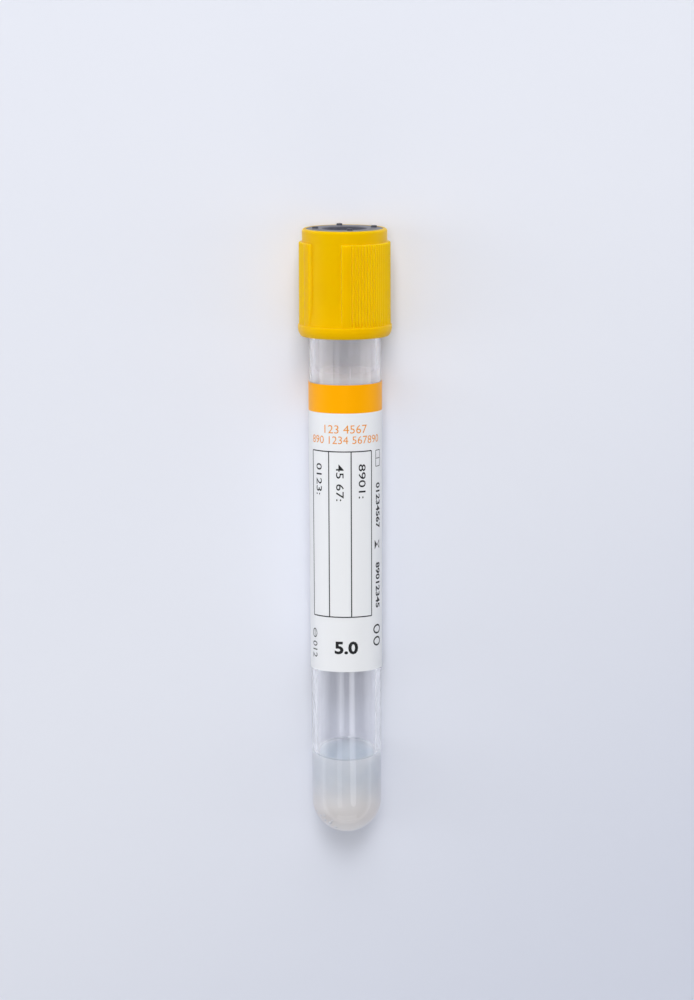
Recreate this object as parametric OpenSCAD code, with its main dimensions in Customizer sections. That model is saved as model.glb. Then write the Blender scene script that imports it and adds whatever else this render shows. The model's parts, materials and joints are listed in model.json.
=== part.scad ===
// Evacuated blood collection tube: a round-bottomed clear tube with a wrapped label,
// a plug of separator gel in its bottom, and a rubber stopper held in a plastic safety cap.
// Every piece is drawn upright on the Z axis with the tube's round bottom at z = 0 and its
// front towards -Y. The last step lays the whole tube down, front side up, cap towards +Y.

/* [Tube] */
// Length of the tube, from the tip of its round bottom to its mouth
tube_len = 100; // [75:1:125]
// Outer diameter at the mouth
tube_od_mouth = 13.1; // [12.8:0.05:13.4]
// Outer diameter where the round bottom starts
tube_od_base = 12.5; // [12:0.05:12.7]
// Thickness of the tube's wall
tube_wall = 1; // [0.8:0.05:1.2]
// Chamfer on both edges of the mouth
mouth_chamfer = 0.2; // [0.1:0.05:0.3]

/* [Safety cap] */
// Height of the cap
cap_h = 19.25; // [17:0.25:24]
// How far the skirt reaches down over the tube
cap_overlap = 9.15; // [6:0.05:11]
// Wall of the skirt between the grip panels
cap_wall = 0.8; // [0.7:0.05:1]
// Wall of the rim round the stopper's head
rim_wall = 0.7; // [0.65:0.05:0.9]
// Rounding of the rim's outer edge
rim_round = 0.5; // [0.2:0.05:0.6]
// Height of the hem ring round the skirt's lower edge
hem_h = 2.1; // [1.8:0.1:3]
// How far the hem ring stands out from the wall
hem_rise = 0.78; // [0.7:0.02:1]
// Rounding of the hem ring's upper edge
hem_lip = 0.2; // [0.1:0.05:0.25]
// Height of the straight band on the hem ring
hem_band = 0.4; // [0.3:0.1:0.8]
// How far the hem ring curves in below its band
hem_tuck = 0.56; // [0.3:0.02:0.6]
// Height over which the wall flares out above the hem ring
flare_h = 5.2; // [3:0.1:7]
// How far the wall flares out
flare_rise = 0.5; // [0.3:0.02:0.54]
// Lead-in chamfer inside the skirt's mouth
skirt_lead = 0.35; // [0.2:0.05:0.5]
// How far the ledge that grips the stopper's neck stands in from the skirt's bore
ledge_reach = 1.4; // [1:0.1:2]
// Thickness of the ledge
ledge_t = 1.5; // [1:0.1:2.5]

/* [Grip panels] */
// Number of grip panels round the cap
panels = 2; // [2:1:3]
// How far a panel stands out from the wall
panel_rise = 0.57; // [0.55:0.01:0.6]
// Angle that one panel spans
panel_arc = 133; // [60:0.5:140]
// Angle of the first panel's middle, from the front towards +X
panel_turn = 62.5; // [0:0.5:180]
// How far below the rim the panels start
panel_drop = 2.4; // [1:0.1:4]
// Chamfer on the panels' top edge
panel_chamfer = 0.2; // [0.1:0.05:0.3]
// Number of ribs on one panel
ribs = 25; // [6:1:26]
// Angle from one rib to the next
rib_pitch = 4.25; // [4:0.05:4.6]
// Radius of the grooves between the ribs
groove_r = 0.19; // [0.1:0.01:0.22]

/* [Rubber stopper] */
// How far the plug reaches into the tube
plug_len = 8; // [4:0.25:10]
// Thickness of the collar that seats on the tube's mouth
collar_t = 2.5; // [1.5:0.1:3]
// Diameter of the needle well in the top
well_d = 7; // [5:0.1:8]
// Depth of the needle well below the top face
well_depth = 6; // [3:0.25:7]
// Width of the bevel round the well's mouth
well_bevel = 0.7; // [0.3:0.05:1]
// Rounding of the top face's edge
head_round = 0.2; // [0.1:0.05:0.4]
// Rounding of the plug's lower edge
plug_round = 0.8; // [0.4:0.1:1]
// Wall of the plug round the hollow in its underside
plug_wall = 2.2; // [1.5:0.1:3]
// Depth of the hollow in the plug's underside
hollow_depth = 6.5; // [3:0.25:7]
// Number of small raised nubs on the top face
nubs = 4; // [2:1:6]
// Distance of the nubs' middles from the edge of the top face
nub_inset = 1.6; // [0.9:0.1:1.9]
// Width of a nub
nub_d = 1.1; // [0.6:0.1:1.3]
// Height of a nub
nub_h = 0.4; // [0.2:0.05:0.5]
// Angle of the first nub, from the front towards +X
nub_turn = 10; // [0:1:45]

/* [Label] */
// Height of the label's lower edge above the tube's tip
label_low = 30.6; // [20:0.1:40]
// Height of the label
label_h = 52; // [40:0.5:56]
// Height of the colour band along the label's upper edge
band_h = 5.1; // [3:0.1:8]
// Thickness of the label's film
label_t = 0.1; // [0.06:0.01:0.15]
// Thickness of the ink of the colour band
ink_t = 0.02; // [0.01:0.01:0.04]
// Angle that the label wraps round the tube
label_wrap = 350; // [200:1:356]

/* [Separator gel] */
// Height on the tube's axis of the gel's edge line, above the tube's tip
gel_h = 15.3; // [10:0.1:25]
// Angle that the gel's surface leans, lower at the front
gel_lean = 11; // [0:0.5:15]
// Depth of the hollow of the gel's surface
gel_dish = 0.3; // [0.1:0.05:0.6]

/* [Clearances] */
// Radial play between the tube's mouth and the cap's skirt
skirt_play = 0.3; // [0.2:0.05:0.5]
// Radial play between the stopper's plug and the tube's mouth
plug_play = 0.05; // [0.02:0.01:0.1]
// Play between the stopper and the cap that grips it
grip_play = 0.03; // [0.02:0.01:0.05]
// Layer of adhesive under the label
glue_t = 0.02; // [0.01:0.01:0.05]
// Play between the gel and the tube's inner wall
gel_play = 0.02; // [0.01:0.01:0.03]

/* [Hidden] */
$fn = 128;
fine_fn = 32;  // for roundings under a millimetre
over = 1;      // how far a cutting shape passes the surface it cuts

// Tube: radii of the tapered outer wall at a height z, and of the bore
mouth_r = tube_od_mouth / 2;
base_r = tube_od_base / 2;
taper = (mouth_r - base_r) / (tube_len - base_r);
function wall_r(z) = base_r + (z - base_r) * taper;
function bore_r(z) = wall_r(z) - tube_wall;

// Cap: its walls, worked outwards from the tube, and the heights of its features
skirt_r = mouth_r + skirt_play;
cap_r = skirt_r + cap_wall;
panel_r = cap_r + panel_rise;
hem_r = cap_r + hem_rise;
cup_r = cap_r - rim_wall;
ledge_r = skirt_r - ledge_reach;
cap_low = tube_len - cap_overlap;
cap_top = cap_low + cap_h;
hem_top = cap_low + hem_h;
band_low = hem_top - hem_lip - hem_band;
tuck_r = (pow(band_low - cap_low, 2) + hem_tuck * hem_tuck) / (2 * hem_tuck);
flare_top = hem_top + flare_h;
flare_arc_r = (flare_h * flare_h + flare_rise * flare_rise) / (2 * flare_rise);
panel_top = cap_top - panel_drop;
side_draft = 1.1;  // angle by which a panel's sides lean back, at each edge

// Stopper: it seats on the tube's mouth, and the cap's ledge lies in its neck
collar_top = tube_len + collar_t;
ledge_low = collar_top + grip_play;
ledge_top = ledge_low + ledge_t;
head_low = ledge_top + grip_play;
head_r = cup_r - grip_play;
neck_r = ledge_r - grip_play;
plug_low = tube_len - plug_len;
plug_r = bore_r(plug_low) - plug_play;
hollow_r = plug_r - plug_wall;
well_r = well_d / 2;
nub_circle_r = head_r - nub_inset;
nub_ball_r = (pow(nub_d / 2, 2) + nub_h * nub_h) / (2 * nub_h);
nub_ball_z = cap_top + nub_h - nub_ball_r;
function nub_angle(i) = nub_turn + i * 360 / nubs;
// how far the nub nearest the floor lies below the axis when the tube lies down
nub_reach = nub_circle_r * max([for (i = [0 : nubs - 1]) -cos(nub_angle(i))]);

// Gel: the ball whose surface dishes its top
gel_r = bore_r(gel_h) - gel_play;
dish_ball_r = (gel_r * gel_r + gel_dish * gel_dish) / (2 * gel_dish);

// Lying pose: the hem ring and the round bottom both touch the floor at z = 0
tuck_centre_r = hem_r - tuck_r;
reach_z = band_low - base_r;
lie = atan2(tuck_centre_r, reach_z) + asin((tuck_r - base_r) / norm([tuck_centre_r, reach_z]));
axis_h = base_r - base_r * sin(lie);
// Both ends along the floor: the round bottom, and the nub nearest the floor
foot_y = base_r * cos(lie) - base_r;
head_y = nub_ball_z * cos(lie) + nub_reach * sin(lie) + nub_ball_r;

// Lays an upright piece on the floor, centred on the origin, front side up.
module laid() {
  translate([0, -(foot_y + head_y) / 2, axis_h]) rotate([lie - 90, 0, 0]) children();
}

// Turns a piece drawn round +X to an angle measured from the front towards +X.
module at_angle(a) {
  rotate([0, 0, a - 90]) children();
}

// Half outline of a round-bottomed, slightly tapered rod between its tip and its top.
module round_rod_outline(tip_z, low_r, top_r, top_z) {
  intersection() {
    translate([0, tip_z + low_r]) circle(low_r);
    translate([0, tip_z]) square(low_r);
  }
  polygon([[0, tip_z + low_r], [low_r, tip_z + low_r], [top_r, top_z], [0, top_z]]);
}

// Upper corner of a turned outline, cut off at 45 degrees.
module chamfer_cut(corner_r, corner_z, c) {
  polygon([[corner_r - c - over, corner_z + over], [corner_r + over, corner_z - c - over],
           [corner_r + over, corner_z + over]]);
}

// Upper corner of a turned outline, rounded with radius r: what is cut away outside the arc.
module corner_cut(corner_r, corner_z, r) {
  difference() {
    translate([corner_r - r, corner_z - r]) square(r + over);
    translate([corner_r - r, corner_z - r]) circle(r, $fn = fine_fn);
  }
}

module tube() {
  color([0.87, 0.9, 0.94, 0.4]) laid() rotate_extrude() difference() {
    round_rod_outline(0, base_r, mouth_r, tube_len);
    round_rod_outline(tube_wall, base_r - tube_wall, bore_r(tube_len + over), tube_len + over);
    // outer and inner chamfers of the mouth
    chamfer_cut(mouth_r, tube_len, mouth_chamfer);
    translate([2 * bore_r(tube_len), 0]) mirror([1, 0])
      chamfer_cut(bore_r(tube_len), tube_len, mouth_chamfer);
  }
}

module separator_gel() {
  color([0.76, 0.79, 0.81, 0.85]) laid() intersection() {
    rotate_extrude()
      round_rod_outline(tube_wall + gel_play, base_r - tube_wall - gel_play,
                        bore_r(tube_len) - gel_play, tube_len);
    // what lies under the leaning, dished surface
    translate([0, 0, gel_h]) rotate([gel_lean, 0, 0]) difference() {
      translate([0, 0, -gel_h]) cube([4 * mouth_r, 4 * mouth_r, 2 * gel_h + 2 * gel_dish], center = true);
      translate([0, 0, dish_ball_r - gel_dish]) sphere(dish_ball_r);
    }
  }
}

module label() {
  top = label_low + label_h;
  ink_low = top - band_h;
  color("white") laid() at_angle(-label_wrap / 2) rotate_extrude(angle = label_wrap) polygon([
    [wall_r(label_low) + glue_t, label_low],
    [wall_r(label_low) + glue_t + label_t, label_low],
    [wall_r(ink_low) + glue_t + label_t, ink_low],
    [wall_r(ink_low) + glue_t + label_t + ink_t, ink_low],
    [wall_r(top) + glue_t + label_t + ink_t, top],
    [wall_r(top) + glue_t, top],
  ]);
}

module stopper_outline() {
  difference() {
    union() {
      translate([0, plug_low]) square([plug_r, plug_len + over]);
      translate([0, tube_len]) square([mouth_r, collar_t]);
      translate([0, collar_top - over]) square([neck_r, head_low - collar_top + 2 * over]);
      translate([0, head_low]) square([head_r, cap_top - head_low]);
    }
    corner_cut(head_r, cap_top, head_round);
    // rounded lower edge of the plug
    mirror([0, 1]) corner_cut(plug_r, -plug_low, plug_round);
    // needle well with its bevelled mouth
    translate([0, cap_top - well_depth]) square([well_r, well_depth + over]);
    polygon([[0, cap_top - well_bevel], [well_r, cap_top - well_bevel],
             [well_r + well_bevel + over, cap_top + over], [0, cap_top + over]]);
    // hollow under the plug
    translate([0, plug_low - over]) square([hollow_r, hollow_depth + over]);
  }
}

module rubber_stopper() {
  color([0.27, 0.28, 0.33]) laid() {
    rotate_extrude() stopper_outline();
    for (i = [0 : nubs - 1])
      at_angle(nub_angle(i)) translate([nub_circle_r, 0, nub_ball_z])
        sphere(nub_ball_r, $fn = fine_fn);
  }
}

// Section of one grip panel, drawn round +X: a raised sector with grooves between its ribs.
module panel_section() {
  low_a = panel_arc / 2 + side_draft;
  high_a = panel_arc / 2 - side_draft;
  deep_r = (skirt_r + cap_r) / 2;
  far_r = panel_r + over;
  difference() {
    intersection() {
      circle(panel_r);
      polygon([deep_r * [cos(low_a), -sin(low_a)], far_r * [cos(high_a), -sin(high_a)],
               [2 * far_r, 0], far_r * [cos(high_a), sin(high_a)],
               deep_r * [cos(low_a), sin(low_a)]]);
    }
    circle(deep_r);
    for (i = [0 : ribs])
      rotate((i - ribs / 2) * rib_pitch) translate([panel_r, 0]) circle(groove_r, $fn = 16);
  }
}

module grip_panels() {
  intersection() {
    for (i = [0 : panels - 1])
      at_angle(panel_turn + i * 360 / panels)
        translate([0, 0, band_low]) linear_extrude(panel_top - band_low) panel_section();
    rotate_extrude() difference() {
      translate([0, cap_low]) square([panel_r + over, panel_top - cap_low]);
      chamfer_cut(panel_r, panel_top, panel_chamfer);
    }
  }
}

// Half outline of the hem ring: a rounded upper edge, a short straight band, and a long
// curve that draws in towards the skirt's lower edge.
module hem_ring_outline() {
  difference() {
    translate([0, cap_low]) square([hem_r, hem_h]);
    corner_cut(hem_r, hem_top, hem_lip);
    difference() {
      translate([tuck_centre_r, cap_low - over]) square([tuck_r + over, band_low - cap_low + over]);
      translate([tuck_centre_r, band_low]) circle(tuck_r);
    }
  }
}

// Half outline of the cap's shell, without the grip panels.
module cap_shell_outline() {
  difference() {
    union() {
      translate([0, cap_low]) square([cap_r, cap_h]);
      hem_ring_outline();
      // flare above the hem ring
      difference() {
        translate([0, hem_top - hem_lip]) square([cap_r + flare_rise, flare_h + hem_lip]);
        translate([cap_r + flare_arc_r, flare_top]) circle(flare_arc_r);
      }
    }
    corner_cut(cap_r, cap_top, rim_round);
    // skirt bore with its lead-in, ledge and cup
    translate([0, cap_low - over]) square([skirt_r, ledge_low - cap_low + over]);
    polygon([[0, cap_low - over], [skirt_r + skirt_lead + over, cap_low - over],
             [skirt_r, cap_low + skirt_lead], [0, cap_low + skirt_lead]]);
    translate([0, cap_low]) square([ledge_r, cap_h]);
    translate([0, ledge_top]) square([cup_r, cap_top - ledge_top + over]);
  }
}

module safety_cap() {
  color([0.95, 0.75, 0]) laid() {
    rotate_extrude() cap_shell_outline();
    grip_panels();
  }
}

tube();
separator_gel();
label();
rubber_stopper();
safety_cap();
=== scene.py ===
# %% [markdown]
# # A blood collection tube in Blender
# The object is a clear round-bottomed plastic tube with a wrapped label, a plug of
# separator gel in its bottom and a yellow safety cap that holds a rubber stopper. It lies
# on a table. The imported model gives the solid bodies, their places and the joint. This
# lesson dresses them: each piece gets a fine mesh and a procedural finish.

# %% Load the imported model
import json
import math

import bmesh
import bpy
from mathutils import Matrix, Vector
from mathutils.bvhtree import BVHTree


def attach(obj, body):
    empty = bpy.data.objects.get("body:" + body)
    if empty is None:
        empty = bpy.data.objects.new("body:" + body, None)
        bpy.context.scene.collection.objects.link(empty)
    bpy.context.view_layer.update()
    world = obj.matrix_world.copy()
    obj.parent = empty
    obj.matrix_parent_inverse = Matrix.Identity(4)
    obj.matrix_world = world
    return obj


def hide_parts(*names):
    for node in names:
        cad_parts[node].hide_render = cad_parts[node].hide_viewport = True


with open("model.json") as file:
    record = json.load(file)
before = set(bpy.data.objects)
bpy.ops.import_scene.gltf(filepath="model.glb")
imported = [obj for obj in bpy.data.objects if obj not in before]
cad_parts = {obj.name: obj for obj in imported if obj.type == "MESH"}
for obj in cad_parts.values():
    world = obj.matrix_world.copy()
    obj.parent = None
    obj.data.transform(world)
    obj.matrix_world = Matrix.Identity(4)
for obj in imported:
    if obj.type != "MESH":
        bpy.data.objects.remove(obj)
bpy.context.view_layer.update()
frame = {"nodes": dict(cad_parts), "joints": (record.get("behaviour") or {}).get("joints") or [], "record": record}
MM = 0.001

# %% [markdown]
# ## Where the tube lies
# The cap's hem ring is wider than the tube, so the lying tube leans: its axis rises
# slightly towards the cap. Every piece is easier to draw upright, round the Z axis and in
# millimetres, with the tip of the round bottom at zero and the front of the label towards
# -Y. One matrix then lays it down. The joint gives the axis, and a mount gives a point on it.

# %% The matrix that lays an upright piece down
axis = Vector(frame["joints"][0]["axis"]).normalized()
mounts = {m["name"]: m for m in frame["record"]["mounts"]}
on_axis = Vector(mounts["needle_well"]["pos_m"])
side = Vector((1, 0, 0))
back = axis.cross(side)


def standing(x, y, z, origin):
    """Matrix with three axes and an origin"""
    return Matrix(((*x, 0), (*y, 0), (*z, 0), (*origin, 1))).transposed()


tube_corners = frame["nodes"]["tube"].data.vertices
tip = on_axis + axis * min((v.co - on_axis).dot(axis) for v in tube_corners)
LAY = standing(side, back, axis, tip)
print("the axis leans by %.2f degrees" % math.degrees(math.asin(axis.z)))

# %% [markdown]
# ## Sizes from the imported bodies
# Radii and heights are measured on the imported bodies, not typed in again, so the
# dressed pieces follow the solids. Plain turned walls are read from the corners of their
# meshes. Where a wall changes round the axis, as on the grip panels, a probe feels for it:
# a ray that starts outside and runs towards the axis.

# %% Measuring tools
def corners(node):
    """(radius, height) in mm, round the tube's axis and above its tip, of a body's corners"""
    found = []
    for v in frame["nodes"][node].data.vertices:
        d = v.co - tip
        height = d.dot(axis)
        found.append(((d - height * axis).length / MM, height / MM))
    return found


def reach(node, low, high):
    """Smallest and largest radius of a body's corners between two heights above the tip"""
    radii = [r for r, h in corners(node) if low <= h <= high]
    return min(radii), max(radii)


def span(node):
    """Lowest and highest point of a body, above the tip"""
    heights = [h for r, h in corners(node)]
    return min(heights), max(heights)


def at(angle, r, h):
    """Point at an angle in degrees from the front of the label towards +X"""
    a = math.radians(angle)
    return (r * math.sin(a), -r * math.cos(a), h)


def probe(node):
    """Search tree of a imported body"""
    mesh = frame["nodes"][node].data
    return BVHTree.FromPolygons([v.co for v in mesh.vertices],
                                [tuple(p.vertices) for p in mesh.polygons])


def feel(tree, angle, height, start=12):
    """Radius in mm at which a ray towards the axis first meets a body, or 0 if it never does"""
    origin = LAY @ (Vector(at(angle, start, height)) * MM)
    inwards = LAY.to_3x3() @ -Vector(at(angle, 1, 0))
    distance = tree.ray_cast(origin, inwards, start * MM)[3]
    return start - distance / MM if distance else 0


def drop(tree, x, y, start=40):
    """Height above the tip at which a ray down the tube first meets a body"""
    origin = LAY @ (Vector((x, y, start)) * MM)
    return start - tree.ray_cast(origin, -axis, start * MM)[3] / MM


# %% Measure the tube, the label and the inside of the cap
tube_len = span("tube")[1]
mouth_r = reach("tube", tube_len - 1, tube_len)[1]
base_r = max((r * r + h * h) / (2 * h) for r, h in corners("tube") if 0.5 < h < 4)
wall = min(h for r, h in corners("tube") if r < 0.1 and h > 0.3)
taper = (mouth_r - base_r) / (tube_len - base_r)
label_low, label_top = span("label")
cap_low, cap_top = span("safety_cap")
skirt_r = reach("safety_cap", cap_low, cap_low + 1)[0]
ledge_r = reach("safety_cap", tube_len, cap_top)[0]
cup_r = reach("safety_cap", cap_top - 1, cap_top)[0]
ledge = [h for r, h in corners("safety_cap") if abs(r - ledge_r) < 0.1]
ledge_low, ledge_high = min(ledge), max(ledge)


def wall_r(h):
    """Outer radius of the tapered tube at a height"""
    return base_r + (h - base_r) * taper


film_t = reach("label", label_low, label_low + 1)[1] - wall_r(label_low)
print("tube %.1f long, radii %.2f and %.2f, wall %.2f" % (tube_len, base_r, mouth_r, wall))
print("label %.1f to %.1f, %.2f thick" % (label_low, label_top, film_t))
print("inside the cap: skirt %.2f ledge %.2f cup %.2f" % (skirt_r, ledge_r, cup_r))

# %% Measure the grip panels and their grooves
cap_probe = probe("safety_cap")
cap_r = reach("safety_cap", cap_top - 1.2, cap_top)[1]
panel_top = max(h for r, h in corners("safety_cap") if r > cap_r + 0.1)
turn_step = 0.1
turns = round(360 / turn_step)
around = [feel(cap_probe, k * turn_step, panel_top - 2) for k in range(turns)]
panel_r = max(around)
half_rise = (panel_r + cap_r) / 2
rises = [k * turn_step for k in range(turns) if around[k - 1] < half_rise <= around[k]]
falls = [k * turn_step for k in range(turns) if around[k - 1] >= half_rise > around[k]]
panel_count = len(rises)
panel_arc = (falls[0] - rises[-1]) % 360
panel_turn = (rises[-1] + panel_arc / 2) % 360
dips = [k for k in range(turns - 1)
        if half_rise < around[k] < around[k - 1] and around[k] <= around[k + 1]
        and around[k] < panel_r - 0.1]
grooves = len(dips) // panel_count
one_panel = sorted((k * turn_step - panel_turn + 180) % 360 - 180 for k in dips)
one_panel = [a for a in one_panel if abs(a) < panel_arc / 2]
rib_pitch = (one_panel[-1] - one_panel[0]) / (grooves - 1)
groove_r = panel_r - sorted(around[k] for k in dips)[len(dips) // 2]
print("%d panels of %.1f degrees round %.1f, radius %.2f, each with %d grooves %.2f apart, "
      "%.2f deep" % (panel_count, panel_arc, panel_turn, panel_r, grooves, rib_pitch, groove_r))

# %% Measure the hem and the flare above it
hem = mounts["hem_ring"]
hem_r = hem["dims"]["r_mm"]
band_middle = (Vector(hem["pos_m"]) - tip).dot(axis) / MM
band_low = band_middle - hem["dims"]["length_mm"] / 2
band_high = band_middle + hem["dims"]["length_mm"] / 2
foot_r = reach("safety_cap", cap_low, cap_low + 0.01)[1]
hem_lip = 0.2
hem_top = band_high + hem_lip
bare_side = panel_turn + 180 / panel_count
hair, step_up = 0.02, 2
flare_r = feel(cap_probe, bare_side, hem_top + hair)
flare_up = feel(cap_probe, bare_side, hem_top + hair + step_up)
flare_h = step_up / (1 - math.sqrt((flare_up - cap_r) / (flare_r - cap_r)))
print("hem %.2f, foot %.2f, band %.2f to %.2f, flare from %.2f over %.1f mm"
      % (hem_r, foot_r, band_low, band_high, flare_r, flare_h))

# %% [markdown]
# ## Turned pieces
# Nearly everything here was moulded in a round cavity, so one helper turns a closed outline
# of (radius, height) points round the axis. A turned mesh keeps its edge loops in neat
# rings, and marking edges by angle keeps a chamfer crisp while walls stay smooth.

# %% Helpers for meshes
def add(name, data):
    """A new object in the scene"""
    obj = bpy.data.objects.new(name, data)
    bpy.context.scene.collection.objects.link(obj)
    return obj


def piece(name, verts, faces, body, slot, nodes=(), sharp=35):
    """A mesh drawn upright in mm becomes a piece that lies down and rides on its body"""
    mesh = bpy.data.meshes.new(name)
    mesh.from_pydata([(x * MM, y * MM, z * MM) for x, y, z in verts], [], faces)
    mesh.transform(LAY)
    tidy = bmesh.new()
    tidy.from_mesh(mesh)
    bmesh.ops.recalc_face_normals(tidy, faces=tidy.faces)
    tidy.to_mesh(mesh)
    tidy.free()
    mesh.polygons.foreach_set("use_smooth", [True] * len(mesh.polygons))
    mesh.set_sharp_from_angle(angle=math.radians(sharp))
    obj = add(name, mesh)
    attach(obj, body)
    if nodes:
        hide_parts(*nodes)
    return obj


def turned(outline, steps=192):
    """Vertices and faces of an outline turned round the axis. Points at radius 0 close it."""
    verts, rings = [], []
    for r, h in outline:
        if r < 1e-6:
            rings.append([len(verts)] * steps)
            verts.append((0, 0, h))
        else:
            rings.append(list(range(len(verts), len(verts) + steps)))
            verts += [at(360 * k / steps, r, h) for k in range(steps)]
    closed = outline[0][0] > 1e-6
    pairs = list(zip(rings, rings[1:])) + ([(rings[-1], rings[0])] if closed else [])
    faces = []
    for low, high in pairs:
        for k in range(steps):
            n = (k + 1) % steps
            corner = [low[k], low[n], high[n], high[k]]
            kept = [c for i, c in enumerate(corner) if c not in corner[:i]]
            if len(kept) > 2:
                faces.append(kept)
    return verts, faces


def arc(r, h, radius, start, end, steps=8):
    """Points of an arc round (r, h). 0 degrees points outwards and 90 up."""
    points = []
    for k in range(steps + 1):
        a = math.radians(start + (end - start) * k / steps)
        points.append((r + radius * math.cos(a), h + radius * math.sin(a)))
    return points


def between(a, b, steps):
    """Points that cut the way from a to b in equal steps, without a itself"""
    return [(a[0] + (b[0] - a[0]) * k / steps, a[1] + (b[1] - a[1]) * k / steps)
            for k in range(1, steps + 1)]


def soft(r, h, start, end, steps=4):
    """Points of a soft edge at a corner (r, h), from one offset to another"""
    points = []
    for k in range(steps + 1):
        a, b = (1 - k / steps) ** 2, (k / steps) ** 2
        points.append((r + a * start[0] + b * end[0], h + a * start[1] + b * end[1]))
    return points


def ease(low, high, x):
    """0 up to low, 1 from high, smooth between"""
    t = min(max((x - low) / (high - low), 0), 1)
    return t * t * (3 - 2 * t)


# %% [markdown]
# ## Materials
# Every finish is a Principled shader, fed by small node groups that several materials
# share: the fine pebble of a moulding tool, soft patches as light handling leaves them,
# and the lines that melt leaves where it ran along a wall.

# %% Helpers for shader nodes
def group(name, inputs, outputs):
    """An empty shader node group with inputs, which have defaults, and outputs"""
    tree = bpy.data.node_groups.new(name, "ShaderNodeTree")
    kind = "NodeSocketFloat"
    for label, value in inputs.items():
        tree.interface.new_socket(label, in_out="INPUT", socket_type=kind).default_value = value
    for label in outputs:
        tree.interface.new_socket(label, in_out="OUTPUT", socket_type=kind)
    return tree, tree.nodes.new("NodeGroupInput"), tree.nodes.new("NodeGroupOutput")


def feed(target, values):
    """Sets inputs of a node to values, or links them to sockets"""
    for key, value in values.items():
        if isinstance(value, bpy.types.NodeSocket):
            target.id_data.links.new(value, target.inputs[key])
        else:
            target.inputs[key].default_value = value


def node(tree, kind, values=(), **settings):
    """A new shader node with its settings and its inputs"""
    made = tree.nodes.new("ShaderNode" + kind)
    for key, value in settings.items():
        setattr(made, key, value)
    feed(made, dict(values))
    return made


def maths(tree, operation, *values):
    """Output of a Math node"""
    return node(tree, "Math", dict(enumerate(values)), operation=operation).outputs[0]


def times(tree, product, *others):
    """Product of two or more values"""
    for other in others:
        product = maths(tree, "MULTIPLY", product, other)
    return product


def blend(tree, factor, a, b):
    """Output of a colour Mix node"""
    return node(tree, "Mix", {0: factor, 6: a, 7: b}, data_type="RGBA").outputs[2]


def ramp(tree, value, low, high):
    """0 below low and 1 above high, smooth between"""
    return node(tree, "MapRange", {0: value, 1: low, 2: high},
                interpolation_type="SMOOTHSTEP").outputs[0]


def bumped(tree, shader, height, strength, depth_mm):
    """Feeds a shader's Normal with small hills and dents"""
    hills = {"Height": height, "Strength": strength, "Distance": depth_mm * MM}
    feed(shader, {"Normal": node(tree, "Bump", hills).outputs[0]})


def use(tree, shared, **values):
    """Places a shared group in a material with its own values"""
    return node(tree, "Group", values, node_tree=shared).outputs


def finish_of(name):
    """A new material with its Principled shader"""
    material = bpy.data.materials.new(name)
    material.use_nodes = True
    return material, material.node_tree, material.node_tree.nodes["Principled BSDF"]


def dress(material, *objects):
    """Gives pieces one material"""
    for obj in objects:
        obj.data.materials.clear()
        obj.data.materials.append(material)


# %% Groups: the pebble of a moulding tool, and soft patches
def make_noise(name, scale, detail, low):
    """A group with the height of a noise, and a mask of its higher parts"""
    tree, inside, out = group(name, {"Scale": scale}, ("Height", "Mask"))
    where = node(tree, "TexCoord").outputs["Object"]
    noise = node(tree, "TexNoise", {"Vector": where, "Scale": inside.outputs["Scale"],
                                    "Detail": detail}).outputs[0]
    feed(out, {"Height": noise, "Mask": ramp(tree, noise, low, 0.7)})
    return tree


pebble = make_noise("pebble", 4000.0, 2.0, 0.35)
patches = make_noise("patches", 150.0, 3.0, 0.3)


# %% Coordinates that stand the tube upright
def upright(tree):
    """Shader coordinates as the pieces are drawn: in metres, upright, from the tube's tip"""
    where = node(tree, "TexCoord").outputs["Object"]
    laid = {"Vector": where, "Location": LAY.to_translation(), "Rotation": LAY.to_euler()}
    return node(tree, "Mapping", laid, vector_type="TEXTURE").outputs[0]


def upright_parts(tree):
    """X, Y and Z of those coordinates"""
    return node(tree, "SeparateXYZ", {0: upright(tree)}).outputs


def length_of(tree, vector):
    """Length of a vector"""
    return node(tree, "VectorMath", {0: vector}, operation="LENGTH").outputs["Value"]


def off_axis(tree):
    """Distance from the tube's axis in mm"""
    flat = node(tree, "VectorMath", {0: upright(tree), 1: (1, 1, 0)}, operation="MULTIPLY")
    return maths(tree, "DIVIDE", length_of(tree, flat.outputs[0]), MM)


# %% Group: height above the tip
def make_height():
    tree, inside, out = group("height_on_tube", {}, ["Height"])
    feed(out, {"Height": maths(tree, "DIVIDE", upright_parts(tree)["Z"], MM)})
    return tree


# %% Group: flow lines along a wall
def make_flow():
    tree, inside, out = group("flow_lines", {"Across": 900.0, "Along": 25.0}, ("Height", "Mask"))
    stretch = node(tree, "CombineXYZ", {
        "X": inside.outputs["Across"], "Y": inside.outputs["Across"], "Z": inside.outputs["Along"]})
    drawn = node(tree, "VectorMath", {0: upright(tree), 1: stretch.outputs[0]},
                 operation="MULTIPLY")
    lines = node(tree, "TexNoise", {"Vector": drawn.outputs[0], "Scale": 1.0, "Detail": 1.0})
    feed(out, {"Height": lines.outputs[0], "Mask": ramp(tree, lines.outputs[0], 0.35, 0.75)})
    return tree


height_on_tube, flow_lines = make_height(), make_flow()
print("shared groups:", bpy.data.node_groups.keys())

# %% [markdown]
# ## The tube
# The real tube is injection-moulded PET: clear, glossy and slightly tapered so that it
# leaves its core. It is one closed wall with an outer and an inner surface, because light
# has to bend at both. The mouth's edges are rounded a little.

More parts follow.
